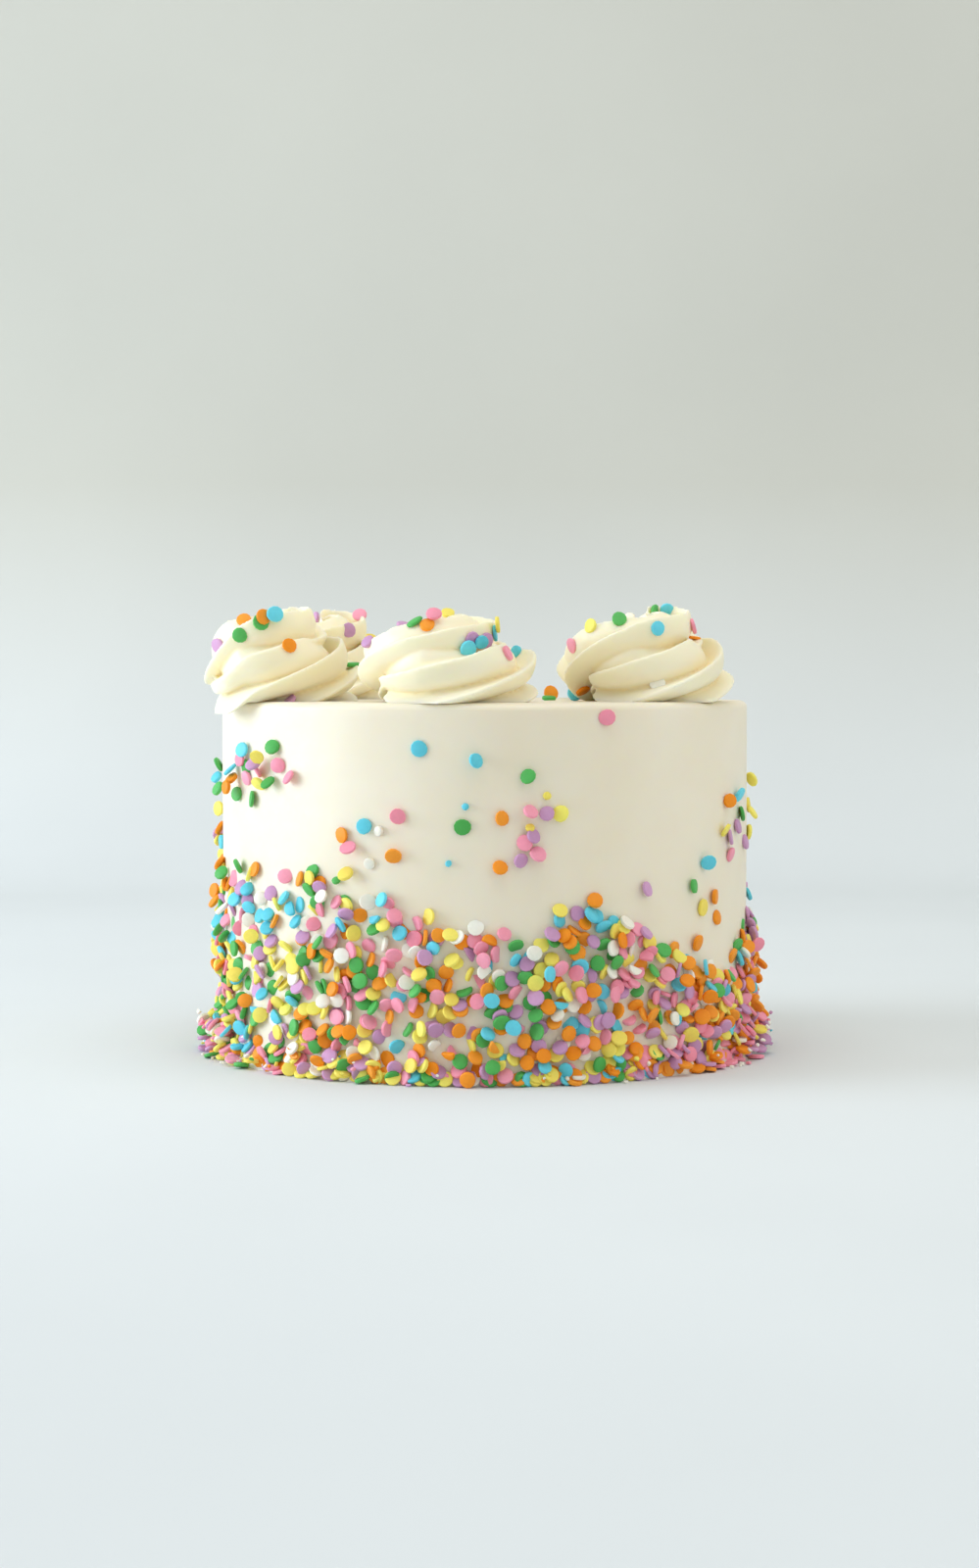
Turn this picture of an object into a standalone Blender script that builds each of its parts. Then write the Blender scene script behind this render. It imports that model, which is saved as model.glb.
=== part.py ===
"""A round frosted layer cake with six piped rosettes and confetti sprinkles.

Metres, +Z up. The origin is the centre of the cake's flat base, and the front is towards -Y.
Angles round the cake are degrees from the front, and positive towards +X.
"""

import math
import random

import bmesh
import bpy
from mathutils import Matrix, Vector

MM = 0.001
GAP = 0.3 * MM

# The frosted cake
CAKE_RADIUS = 85 * MM
CAKE_HEIGHT = 113 * MM
TOP_EDGE_ROUND = 2.6 * MM
FOOT_CHAMFER = 0.6 * MM
CAKE_SIDES = 64
EDGE_ARC_STEPS = 3

# The low pile of sprinkles round the foot: how far it spreads in front and at the sides
PILE_HEIGHT = 9 * MM
PILE_SPREAD_FRONT = 1.2 * MM
PILE_SPREAD_SIDE = 5.6 * MM
PILE_LEVELS = 3

# One confetti sprinkle, a small flat disc, and how it may lie on the icing
SPRINKLE_RADIUS = 2.4 * MM
SPRINKLE_THICKNESS = 1.15 * MM
SPRINKLE_SIDES = 6
SPRINKLE_PROUD = (0.25 * MM, 0.45 * MM)
SPRINKLE_TILT = 20

# The upper edge of the sprinkled band: degrees from the front, height above the base
BAND_EDGE = (
    (-180, 47), (-150, 58), (-122, 46), (-100, 57), (-58, 62), (-30, 61), (-24, 50), (0, 44), (9, 44),
    (18, 53), (43, 39), (61, 29), (80, 43), (90, 44), (105, 36), (130, 50), (155, 38), (180, 47),
)
BAND_SPRINKLES = 165
BAND_LOW = 8.5 * MM
BAND_SPACING = 7.8 * MM
BAND_SEED = 11

# Loose groups above the band: degrees from the front, height, spread across and up in mm, how many
CLUSTERS = (
    (-52, 92, 6, 7, 7),
    (-86, 88, 3, 8, 4),
    (9, 78, 6, 6, 5),
    (73, 80, 5, 9, 7),
    (150, 84, 8, 8, 6),
    (-140, 90, 8, 6, 5),
)
CLUSTER_SPACING = 4.8 * MM
CLUSTER_SEED = 5

# Single sprinkles high on the side: degrees from the front, height
STRAYS = (
    (-13, 99), (-2, 96), (8, 91), (24, 106), (-4, 76), (-26, 74), (-19, 69), (3, 64),
    (34, 58), (48, 58), (52, 52), (62, 66), (103, 70), (128, 74), (176, 80), (-166, 70), (-112, 76),
)

# The sprinkles that show on the pile round the foot: every second one leans, the others lie at its edge
FOOT_SPRINKLES = 42
FOOT_LEAN_FLAT = (8, 16)
FOOT_LEAN_STEEP = (40, 60)
FOOT_RISE = 1.5 * MM
FOOT_PROUD_FLAT = 0.9 * MM
FOOT_PROUD_STEEP = 0.4 * MM
FOOT_SEED = 3

# How far a sprinkle may stray from its even place in a ring of them, as a share of the spacing
RING_STRAY = 0.3

# One rosette: a rope of icing with six ridges like petals, piped in a rising spiral that closes on top.
# Skew puts each valley's deepest line just above the next lip, and lean turns the lips up.
ROPE_RADIUS = 12.6 * MM
ROPE_RIDGES = 6
VALLEY_DEPTH = 0.54
RIDGE_ROUND = 0.22
RIDGE_SKEW = 0.6
RIDGE_LEAN = 0.32
RIDGE_UNEVEN = 0.14

# How the hand swayed: the ridges wander, and the lips are ruffled (size, beats in a turn and in a section)
SWAY = 0.3
SWAY_BEATS = 1.5
RUFFLES = ((0.035, 2.3, 3), (0.021, 4.1, -2))

# The spiral: it stays wide at first, rises between two of its turns, and its ridges fade near the end
SPIRAL_TURNS = 1.85
SPIRAL_RADII = (16.8 * MM, 2.0 * MM)
SPIRAL_HEIGHTS = (7.0 * MM, 18.5 * MM)
WIDE_TURNS = 0.75
RISE_TURNS = (0.45, 1.45)
ROPE_THINNING = 0.2
ROPE_START_TURNS = 0.16
ROPE_END_TURNS = 0.35
ROPE_TIP = 0.25
SMOOTH_END_TURNS = 0.5
ROPE_STEPS_PER_TURN = 40
POINTS_PER_RIDGE = 10

# The icing that fills the middle of the spiral
HEART_RADII = (14 * MM, 5 * MM)
HEART_HEIGHT = 17.5 * MM
HEART_SIDES = 24

# How the turns are fused, and how few faces a fused rosette has
FUSE_VOXEL = 0.75 * MM
FUSE_SMOOTHING = 4
ROSETTE_TRIANGLES = 670

# How the rosette that overhangs the edge sags past it
SAG_START = CAKE_RADIUS + 1.0 * MM
SAG_REACH = 8 * MM
SAG_DEPTH = 5 * MM

# The ring of rosettes: name, degrees from the front, distance from the axis in mm, degrees where the
# spiral starts, turns that the rope twists in a turn of the spiral, size across, size up
ROSETTES = (
    ("rosette_front", -12, 57.5, 210, 0.45, 1.02, 0.96),
    ("rosette_front_right", 57, 60, 212, 0.60, 0.97, 1.03),
    ("rosette_back_right", 118, 59, 300, 0.55, 0.96, 1.01),
    ("rosette_back", 190, 58, 120, 0.50, 0.97, 0.99),
    ("rosette_back_left", 242, 63, 235, 0.60, 0.95, 1.04),
    ("rosette_front_left", -69, 69, 188, 0.60, 0.92, 1.03),
)
ROSETTE_SPRINKLES = 4
ROSETTE_SPRINKLE_REACH = (5 * MM, 19 * MM)
ROSETTE_SPRINKLE_PROUD = 0.2 * MM
ROSETTE_SPRINKLE_TILT = 25
ROSETTE_SEED = 21
LOOK_DOWN_FROM = 0.1

ICING_COLOUR = (0.90, 0.84, 0.68)
ICING_ROUGHNESS = 0.45


def clear_scene():
    for obj in list(bpy.data.objects):
        bpy.data.objects.remove(obj, do_unlink=True)


def collection(name):
    made = bpy.data.collections.new(name)
    bpy.context.scene.collection.children.link(made)
    return made


def icing_material(name):
    material = bpy.data.materials.new(name)
    material.use_nodes = True
    shader = material.node_tree.nodes["Principled BSDF"]
    shader.inputs["Base Color"].default_value = (*ICING_COLOUR, 1)
    shader.inputs["Roughness"].default_value = ICING_ROUGHNESS
    shader.inputs["Metallic"].default_value = 0
    return material


def new_object(name, mesh, home):
    obj = bpy.data.objects.new(name, mesh)
    home.objects.link(obj)
    return obj


def evaluated_copy(obj, name):
    """A plain mesh of the object with its modifiers worked in; the object itself is removed."""
    graph = bpy.context.evaluated_depsgraph_get()
    mesh = bpy.data.meshes.new_from_object(obj.evaluated_get(graph))
    mesh.name = name
    made = new_object(name, mesh, obj.users_collection[0])
    made.matrix_world = obj.matrix_world.copy()
    bpy.data.objects.remove(obj, do_unlink=True)
    made.name = name
    return made


def smoothstep(x):
    x = min(1.0, max(0.0, x))
    return x * x * (3 - 2 * x)


def around(degrees, radius, height):
    """The point at this angle round the cake."""
    a = math.radians(degrees)
    return Vector((radius * math.sin(a), -radius * math.cos(a), height))


def band_height(degrees):
    """The band's upper edge at this angle, between the stated heights."""
    degrees = (degrees + 180) % 360 - 180
    for (a, low), (b, high) in zip(BAND_EDGE, BAND_EDGE[1:]):
        if a <= degrees <= b:
            return (low + (high - low) * smoothstep((degrees - a) / (b - a))) * MM
    return BAND_EDGE[0][1] * MM


def cake_profile():
    """The half outline, from the middle of the top down to the middle of the base."""
    inner = CAKE_RADIUS - TOP_EDGE_ROUND
    points = [(0, CAKE_HEIGHT)]
    for step in range(EDGE_ARC_STEPS + 1):
        a = math.pi / 2 * step / EDGE_ARC_STEPS
        points.append(
            (
                inner + TOP_EDGE_ROUND * math.sin(a),
                CAKE_HEIGHT - TOP_EDGE_ROUND * (1 - math.cos(a)),
            )
        )
    for level in range(PILE_LEVELS):
        share = 1 - level / PILE_LEVELS
        points.append((CAKE_RADIUS, FOOT_CHAMFER + (PILE_HEIGHT - FOOT_CHAMFER) * share**1.5))
    points.append((CAKE_RADIUS, FOOT_CHAMFER))
    points.append((CAKE_RADIUS - FOOT_CHAMFER, 0))
    points.append((0, 0))
    return points


def pile_spread(degrees):
    """How far the pile spreads at its foot, widest at the two sides."""
    return PILE_SPREAD_FRONT + (PILE_SPREAD_SIDE - PILE_SPREAD_FRONT) * math.sin(math.radians(degrees)) ** 2


def pile_reach(degrees, height):
    """How far the pile stands off the side of the cake at this height."""
    return pile_spread(degrees) * max(0.0, 1 - height / PILE_HEIGHT) ** 2


def spread_foot(mesh):
    """Moves the side's lowest rings out to the slope of the pile."""
    for vertex in mesh.vertices:
        x, y, z = vertex.co
        radius = math.hypot(x, y)
        if radius > CAKE_RADIUS / 2 and z < PILE_HEIGHT:
            reach = pile_reach(math.degrees(math.atan2(x, -y)), z)
            vertex.co.x += x / radius * reach
            vertex.co.y += y / radius * reach


def make_cake(home):
    profile = cake_profile()
    mesh = bpy.data.meshes.new("cake_profile")
    edges = [(i, i + 1) for i in range(len(profile) - 1)]
    mesh.from_pydata([(x, 0, z) for x, z in profile], edges, [])
    turned = new_object("cake_profile", mesh, home)
    screw = turned.modifiers.new("Turn", "SCREW")
    screw.steps = CAKE_SIDES
    screw.render_steps = CAKE_SIDES
    screw.use_merge_vertices = True
    screw.merge_threshold = 0.0001
    cake = evaluated_copy(turned, "cake")
    spread_foot(cake.data)
    return cake


def sprinkle_mesh():
    bpy.ops.mesh.primitive_cylinder_add(
        vertices=SPRINKLE_SIDES, radius=SPRINKLE_RADIUS, depth=SPRINKLE_THICKNESS
    )
    obj = bpy.context.object
    mesh = obj.data
    bpy.data.objects.remove(obj, do_unlink=True)
    mesh.name = "sprinkle"
    return mesh


def leaning(axis, rng, tilt):
    """A direction near this axis, up to tilt degrees away."""
    side = axis.orthogonal().normalized()
    side.rotate(Matrix.Rotation(rng.uniform(0, 2 * math.pi), 3, axis))
    return (axis + side * math.tan(math.radians(rng.uniform(0, tilt)))).normalized()


def add_sprinkle(mesh, home, place, facing, rng):
    """One disc at this place with its flat side towards facing."""
    obj = new_object("sprinkle", mesh, home)
    spin = Matrix.Rotation(rng.uniform(0, 2 * math.pi), 4, "Z")
    turn = facing.to_track_quat("Z", "Y").to_matrix().to_4x4()
    obj.matrix_world = Matrix.Translation(place) @ turn @ spin
    return obj


def far_enough(spot, taken, spacing):
    return all((spot - other).length > spacing for other in taken)


def side_sprinkle(mesh, home, degrees, height, rng):
    place = around(degrees, CAKE_RADIUS + rng.uniform(*SPRINKLE_PROUD), height)
    facing = leaning(around(degrees, 1, 0), rng, SPRINKLE_TILT)
    add_sprinkle(mesh, home, place, facing, rng)


def band_sprinkles(mesh, home, taken):
    """An even scatter below the band's upper edge."""
    rng = random.Random(BAND_SEED)
    highest = max(height for _, height in BAND_EDGE) * MM
    placed = 0
    while placed < BAND_SPRINKLES:
        degrees = rng.uniform(-180, 180)
        height = rng.uniform(BAND_LOW, highest)
        spot = around(degrees, CAKE_RADIUS, height)
        if height < band_height(degrees) and far_enough(spot, taken, BAND_SPACING):
            side_sprinkle(mesh, home, degrees, height, rng)
            taken.append(spot)
            placed += 1


def cluster_sprinkles(mesh, home, taken):
    """The loose groups and the single sprinkles above the band."""
    rng = random.Random(CLUSTER_SEED)
    for degrees, height in STRAYS:
        side_sprinkle(mesh, home, degrees, height * MM, rng)
        taken.append(around(degrees, CAKE_RADIUS, height * MM))
    for degrees, height, across, up, count in CLUSTERS:
        placed = 0
        while placed < count:
            a = degrees + rng.uniform(-1, 1) * math.degrees(across * MM / CAKE_RADIUS)
            z = (height + rng.uniform(-1, 1) * up) * MM
            spot = around(a, CAKE_RADIUS, z)
            if far_enough(spot, taken, CLUSTER_SPACING):
                side_sprinkle(mesh, home, a, z, rng)
                taken.append(spot)
                placed += 1


def foot_sprinkles(mesh, home):
    """Discs on the pile, by turns one that lies at its edge and one that leans higher on its slope."""
    rng = random.Random(FOOT_SEED)
    for index in range(FOOT_SPRINKLES):
        at_edge = index % 2 == 1
        degrees = 360 * (index + rng.uniform(-RING_STRAY, RING_STRAY)) / FOOT_SPRINKLES
        lean = math.radians(rng.uniform(*(FOOT_LEAN_FLAT if at_edge else FOOT_LEAN_STEEP)))
        height = GAP + SPRINKLE_RADIUS * math.sin(lean) + SPRINKLE_THICKNESS / 2 * math.cos(lean)
        if not at_edge:
            height += rng.uniform(0, FOOT_RISE)
        proud = FOOT_PROUD_FLAT if at_edge else FOOT_PROUD_STEEP
        out = around(degrees, 1, 0)
        place = around(degrees, CAKE_RADIUS + pile_reach(degrees, height) + proud, height)
        facing = out * math.sin(lean) + Vector((0, 0, 1)) * math.cos(lean)
        add_sprinkle(mesh, home, place, facing, rng)


def ridge(angle):
    """1 on a ridge's lip and 0 in the valley below it, at this angle of the rope's section."""
    phase = ROPE_RIDGES * angle
    phase += RIDGE_SKEW * (1 - math.cos(phase))
    dip = math.hypot(math.sin(phase / 2), RIDGE_ROUND) - RIDGE_ROUND
    return 1 - dip / (math.hypot(1, RIDGE_ROUND) - RIDGE_ROUND)


def ruffled(angle, turn, first):
    """How much the rope swells here, as a share of its radius."""
    share = 1
    for number, (size, beats, waves) in enumerate(RUFFLES, 1):
        share += size * math.sin(2 * math.pi * beats * turn + waves * angle + number * first)
    return share


def section_point(angle, turn, first, twist):
    """A point of the rope's section: how far outwards and how far up it is from the centre line.

    The ridges fade towards the drawn-out end.
    """
    full = smoothstep((SPIRAL_TURNS - turn) / SMOOTH_END_TURNS)
    tip = ridge(angle)
    depth = VALLEY_DEPTH * full
    uneven = 1 + RIDGE_UNEVEN * math.sin(2 * angle + first)
    reach = rope_radius(turn) * ruffled(angle, turn, first) * (1 - depth + depth * uneven * tip)
    turned = angle + RIDGE_LEAN * full * tip + twist * 2 * math.pi * turn
    turned += SWAY * math.sin(2 * math.pi * SWAY_BEATS * turn + first)
    return reach * math.cos(turned), reach * math.sin(turned)


def rope_centre(turn):
    """The centre line's distance from the rosette's axis and its height, at this many turns."""
    inward = smoothstep((turn - WIDE_TURNS) / (SPIRAL_TURNS - WIDE_TURNS))
    upward = smoothstep((turn - RISE_TURNS[0]) / (RISE_TURNS[1] - RISE_TURNS[0]))
    radius = SPIRAL_RADII[0] + (SPIRAL_RADII[1] - SPIRAL_RADII[0]) * inward
    height = SPIRAL_HEIGHTS[0] + (SPIRAL_HEIGHTS[1] - SPIRAL_HEIGHTS[0]) * upward
    return radius, height


def rope_radius(turn):
    """The rope is full along its length, with a blunt start and a drawn-out end."""
    start = math.sqrt(min(1.0, ROPE_TIP + turn / ROPE_START_TURNS))
    end = math.sqrt(min(1.0, ROPE_TIP + (SPIRAL_TURNS - turn) / ROPE_END_TURNS))
    thinner = 1 - ROPE_THINNING * turn / SPIRAL_TURNS
    return ROPE_RADIUS * thinner * start * end


def sagged(point):
    """Icing past the cake's edge hangs a little below the top."""
    reach = math.hypot(point.x, point.y) - SAG_START
    drop = SAG_DEPTH * smoothstep(reach / SAG_REACH)
    return Vector((point.x, point.y, point.z - drop))


def rope_mesh(name, centre, start, twist, across, up):
    """The ridged rope swept along its spiral, flat where it lies, with the icing that fills its heart."""
    sections = round(SPIRAL_TURNS * ROPE_STEPS_PER_TURN)
    around_count = ROPE_RIDGES * POINTS_PER_RIDGE
    first = math.radians(start)
    bm = bmesh.new()
    rings = []
    for i in range(sections + 1):
        turn = SPIRAL_TURNS * i / sections
        heading = first + 2 * math.pi * turn
        outward = Vector((math.cos(heading), math.sin(heading), 0))
        radius, height = rope_centre(turn)
        ring = []
        for j in range(around_count):
            out_by, up_by = section_point(2 * math.pi * j / around_count, turn, first, twist)
            point = centre + outward * (across * (radius + out_by))
            point.z += up * max(0.0, height + up_by)
            ring.append(bm.verts.new(sagged(point)))
        rings.append(ring)
    for low, high in zip(rings, rings[1:]):
        for j in range(around_count):
            k = (j + 1) % around_count
            bm.faces.new((low[j], low[k], high[k], high[j]))
    bm.faces.new(list(reversed(rings[0])))
    bm.faces.new(rings[-1])
    bmesh.ops.create_cone(
        bm,
        cap_ends=True,
        segments=HEART_SIDES,
        radius1=HEART_RADII[0],
        radius2=HEART_RADII[1],
        depth=HEART_HEIGHT,
        matrix=Matrix.Translation(centre + Vector((0, 0, HEART_HEIGHT / 2))),
    )
    bmesh.ops.recalc_face_normals(bm, faces=bm.faces)
    mesh = bpy.data.meshes.new(name)
    bm.to_mesh(mesh)
    bm.free()
    return mesh


def make_rosette(name, home, centre, start, twist, across, up):
    """The rope's turns fused into one solid, with as few faces as its form needs."""
    rope = new_object(name, rope_mesh(name, centre, start, twist, across, up), home)
    fuse = rope.modifiers.new("Fuse", "REMESH")
    fuse.mode = "VOXEL"
    fuse.voxel_size = FUSE_VOXEL
    soften = rope.modifiers.new("Soften", "SMOOTH")
    soften.factor = 0.5
    soften.iterations = FUSE_SMOOTHING
    fused = evaluated_copy(rope, name + "_fused")
    fewer = fused.modifiers.new("Fewer", "DECIMATE")
    fewer.use_collapse_triangulate = True
    triangles = sum(len(p.vertices) - 2 for p in fused.data.polygons)
    fewer.ratio = ROSETTE_TRIANGLES / triangles
    return evaluated_copy(fused, name)


def topping_sprinkles(mesh, home, rosette, centre, rng):
    """A few discs that lie on the rosette, found by looking down on it."""
    graph = bpy.context.evaluated_depsgraph_get()
    for index in range(ROSETTE_SPRINKLES):
        a = 2 * math.pi * (index + rng.uniform(-RING_STRAY, RING_STRAY)) / ROSETTE_SPRINKLES
        reach = rng.uniform(*ROSETTE_SPRINKLE_REACH)
        start = centre + Vector((math.cos(a), math.sin(a), 0)) * reach
        start.z += LOOK_DOWN_FROM
        hit, place, normal, _ = rosette.evaluated_get(graph).ray_cast(start, Vector((0, 0, -1)))
        if hit:
            facing = leaning(normal, rng, ROSETTE_SPRINKLE_TILT)
            add_sprinkle(mesh, home, place + normal * ROSETTE_SPRINKLE_PROUD, facing, rng)


def fuse_sprinkles(obj, sprinkles, solver):
    """One union joins the discs to what they lie on."""
    union = obj.modifiers.new("Sprinkles", "BOOLEAN")
    union.solver = solver
    union.operation = "UNION"
    union.operand_type = "COLLECTION"
    union.collection = sprinkles
    name = obj.name
    obj.name = name + "_bare"
    joined = evaluated_copy(obj, name)
    for disc in list(sprinkles.objects):
        bpy.data.objects.remove(disc, do_unlink=True)
    bpy.data.collections.remove(sprinkles)
    return joined


def finish(obj, material):
    obj.data.materials.clear()
    obj.data.materials.append(material)
    obj.data.shade_smooth()
    obj.data.set_sharp_from_angle(angle=math.radians(35))


def build():
    clear_scene()
    home = collection("layer_cake")
    disc = sprinkle_mesh()

    cake = make_cake(home)
    scatter = collection("cake_sprinkles")
    taken = []
    cluster_sprinkles(disc, scatter, taken)
    band_sprinkles(disc, scatter, taken)
    foot_sprinkles(disc, scatter)
    cake = fuse_sprinkles(cake, scatter, "EXACT")
    finish(cake, icing_material("cake_icing"))

    rng = random.Random(ROSETTE_SEED)
    for name, degrees, distance, start, twist, across, up in ROSETTES:
        centre = around(degrees, distance * MM, CAKE_HEIGHT + GAP)
        rosette = make_rosette(name, home, centre, start, twist, across, up)
        scatter = collection(name + "_sprinkles")
        bpy.context.view_layer.update()
        topping_sprinkles(disc, scatter, rosette, centre, rng)
        rosette = fuse_sprinkles(rosette, scatter, "MANIFOLD")
        finish(rosette, icing_material(name + "_icing"))


build()
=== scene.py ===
"""The look of a round layer cake: smooth buttercream, piped rosettes and confetti sprinkles.

Metres, +Z up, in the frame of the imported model. The front is towards -Y, and angles round the cake are
degrees from the front, positive towards +X.
"""

import math

import bmesh
import bpy
import numpy as np
from mathutils import Matrix, Vector
from mathutils.bvhtree import BVHTree


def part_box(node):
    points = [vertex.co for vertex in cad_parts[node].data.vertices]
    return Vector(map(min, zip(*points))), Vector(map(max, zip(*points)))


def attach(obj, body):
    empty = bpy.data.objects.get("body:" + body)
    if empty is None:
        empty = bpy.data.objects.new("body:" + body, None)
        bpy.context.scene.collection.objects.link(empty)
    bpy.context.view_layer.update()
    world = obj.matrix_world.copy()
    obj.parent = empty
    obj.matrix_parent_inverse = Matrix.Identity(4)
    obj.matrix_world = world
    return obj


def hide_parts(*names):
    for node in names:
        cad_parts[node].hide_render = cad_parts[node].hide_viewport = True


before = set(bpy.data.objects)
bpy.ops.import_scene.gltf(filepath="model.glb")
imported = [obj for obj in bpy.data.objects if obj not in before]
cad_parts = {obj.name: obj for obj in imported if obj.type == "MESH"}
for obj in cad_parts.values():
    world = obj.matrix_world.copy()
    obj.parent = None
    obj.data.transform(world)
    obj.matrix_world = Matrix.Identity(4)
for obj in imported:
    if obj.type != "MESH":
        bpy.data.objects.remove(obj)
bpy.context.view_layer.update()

MM = 0.001

# The camera of the photograph, and its picture size in pixels
PHOTO_WIDTH = 999
PHOTO_HEIGHT = 1600
CAMERA_PLACE = (0, -0.848, 0.1225)
CAMERA_AIM = (0.00144, 0, 0.0856)
LENS_MM = 59.74
SENSOR_MM = 36

# The frosted cake
CAKE_RADIUS = 85 * MM
CAKE_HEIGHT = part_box("cake")[1].z
TOP_EDGE_ROUND = 2.2 * MM
WALL_COLUMNS = 420
WALL_ROWS = 100
TOP_ROWS = 60
PILE_HEIGHT = 9 * MM
PILE_SPREAD_FRONT = 1.2 * MM
PILE_SPREAD_SIDE = 5.6 * MM
# How much of the pile is icing, with the sprinkles on top of it
PILE_ICING = 0.75
TOP_EDGE_STEPS = 8

# What the scraper left on the side: swells (size in mm, waves in a turn, rise with height, phase), and
# faint lines round the cake
SWELLS = ((0.10, 3, 0, 1.3), (0.07, 5, -45, 0.4), (0.05, 9, 70, 2.0), (0.04, 14, -30, 0))
LINES_SIZE = 0.025
LINES_PER_METRE = 900
# The same on the top: faint rings, and an edge that rises and falls
RINGS_SIZE = 0.10 * MM
RIM_WIDTH = 1.5 * MM
RIM_SIZE = 0.22 * MM

# One rosette: a rope of icing with six ridges like petals, piped in a rising spiral that closes on top.
# Skew puts each valley's deepest line just above the next lip, and lean turns the lips up.
ROPE_RADIUS = 12.6 * MM
ROPE_RIDGES = 6
VALLEY_DEPTH = 0.54
RIDGE_ROUND = 0.22
RIDGE_SKEW = 0.6
RIDGE_LEAN = 0.32
RIDGE_UNEVEN = 0.14

# How the hand swayed: the ridges wander, and the lips are ruffled (size, beats in a turn and in a section)
SWAY = 0.3
SWAY_BEATS = 1.5
RUFFLES = ((0.035, 2.3, 3), (0.021, 4.1, -2), (0.012, 9.7, 4))

# The spiral: it stays wide at first, rises between two of its turns, and its ridges fade near the end
SPIRAL_TURNS = 1.85
SPIRAL_RADII = (16.8 * MM, 2.0 * MM)
SPIRAL_HEIGHTS = (7.0 * MM, 18.5 * MM)
WIDE_TURNS = 0.75
RISE_TURNS = (0.45, 1.45)
ROPE_THINNING = 0.2
ROPE_START_TURNS = 0.16
ROPE_END_TURNS = 0.35
ROPE_TIP = 0.25
SMOOTH_END_TURNS = 0.5
ROPE_STEPS_PER_TURN = 120
POINTS_PER_RIDGE = 20
HEART_RADII = (14 * MM, 5 * MM)
HEART_HEIGHT = 17.5 * MM
HEART_SIDES = 32
FUSE_VOXEL = 0.62 * MM
FUSE_SMOOTHING = 2
# A fold is as deep as a surface smoothed so many times passes outside it, and at this depth the painted shade
# in it is full
FOLD_SHADE_SMOOTHING = 100
FOLD_SHADE_FULL_MM = 2.2
SAG_START = CAKE_RADIUS + 1.0 * MM
SAG_REACH = 8 * MM
SAG_DEPTH = 5 * MM

# How deep a rosette sits in the icing under it
ROSETTE_SUNK = 0.2 * MM

# Linear colours of the icing, scraped and piped, those of its paler blotches, and the painted shade in its
# folds: darker and yellower, for light that bounces and scatters between them
ICING = (0.88, 0.80, 0.63)
ICING_PALE = (0.90, 0.83, 0.68)
# The piped icing is painted paler than the scraped icing: painted light, for the stronger light that the
# rosettes catch from above
PIPED_PAINTED_LIGHTER = (0.97, 0.87, 0.645)
PIPED_PALE_PAINTED_LIGHTER = (0.985, 0.90, 0.705)
FOLD_PAINTED_SHADE = (1.0, 0.84, 0.36)

# The ring of rosettes: node, degrees from the front, distance from the axis in mm, degrees where the
# spiral starts, turns that the rope twists in a turn of the spiral, size across, size up
ROSETTES = (
    ("rosette_front", -12, 57.5, 210, 0.45, 1.02, 0.96),
    ("rosette_front_right", 57, 60, 212, 0.60, 0.97, 1.03),
    ("rosette_back_right", 118, 59, 300, 0.55, 0.96, 1.01),
    ("rosette_back", 190, 58, 120, 0.50, 0.97, 0.99),
    ("rosette_back_left", 242, 63, 235, 0.60, 0.95, 1.04),
    ("rosette_front_left", -69, 69, 188, 0.60, 0.92, 1.03),
)

# The paper sweep: half its width, how far it reaches forward and up, where it stands, and its bend's radius
SWEEP_HALF_WIDTH = 3.5
SWEEP_FRONT = -3.0
SWEEP_TOP = 3.0
SWEEP_BACK = 0.95
SWEEP_BEND = 0.35
# Its colour at the floor, and from this height up
FLOOR_COLOUR = (0.76, 0.80, 0.815)
WALL_COLOUR = (0.59, 0.59, 0.53)
WALL_FROM = 0.25

# The round area lights: place, size, power in watts and colour. All of them face the cake's middle.
LIGHT_AIM = (0, 0, 0.08)
LIGHTS = {
    "window": ((-1.40, -0.12, 0.34), 1.1, 21.5, (0.79, 0.88, 1.0)),
    "room": ((1.2, -1.1, 0.9), 1.6, 3.5, (1.0, 0.97, 0.92)),
    "right_wall": ((1.4, 0.0, 0.6), 1.6, 3.5, (1.0, 0.97, 0.93)),
    "ceiling": ((0.0, -0.2, 1.6), 1.8, 11, (1.0, 1.0, 0.98)),
}
ROOM_COLOUR = (0.95, 0.97, 0.95)
ROOM_STRENGTH = 0.50

# Confetti sprinkles: small flat discs of pressed sugar
SPRINKLE_RADIUS = 2.4 * MM
SPRINKLE_THICKNESS = 1.1 * MM
SPRINKLE_SIDES = 12
# How the discs vary, as shares: their radius, its limits, and their thickness
RADIUS_SPREAD = 0.045
RADIUS_LIMITS = (0.88, 1.1)
THICKNESS_LIMITS = (0.85, 1.15)
# How oval, how uneven and how cupped they are, and where across it a broken one breaks off
OVAL = 0.035
UNEVEN = 0.02
CUPPED = 0.10
BREAKS_AT = (-0.3, 0.5)
# The half outline of a disc, from the middle of its face outwards: share of radius, share of thickness
SPRINKLE_OUTLINE = ((0.87, 0.5), (0.965, 0.41), (1.0, 0.17), (1.0, -0.17), (0.965, -0.41), (0.87, -0.5))

# Each colour of sprinkle: linear RGB, its share of all the sprinkles, and how much more of it lies to the
# right than to the left
COLOURS = {
    "orange": ((1.00, 0.31, 0.004), 0.205, 0.50),
    "yellow": ((1.00, 0.79, 0.13), 0.185, -0.30),
    "green": ((0.08, 0.45, 0.09), 0.130, -0.40),
    "pink": ((1.00, 0.33, 0.44), 0.185, 0.20),
    "purple": ((0.60, 0.32, 0.54), 0.135, 0.25),
    "blue": ((0.12, 0.63, 0.77), 0.085, -0.35),
    "white": ((0.95, 0.89, 0.76), 0.075, 0.0),
}

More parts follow.
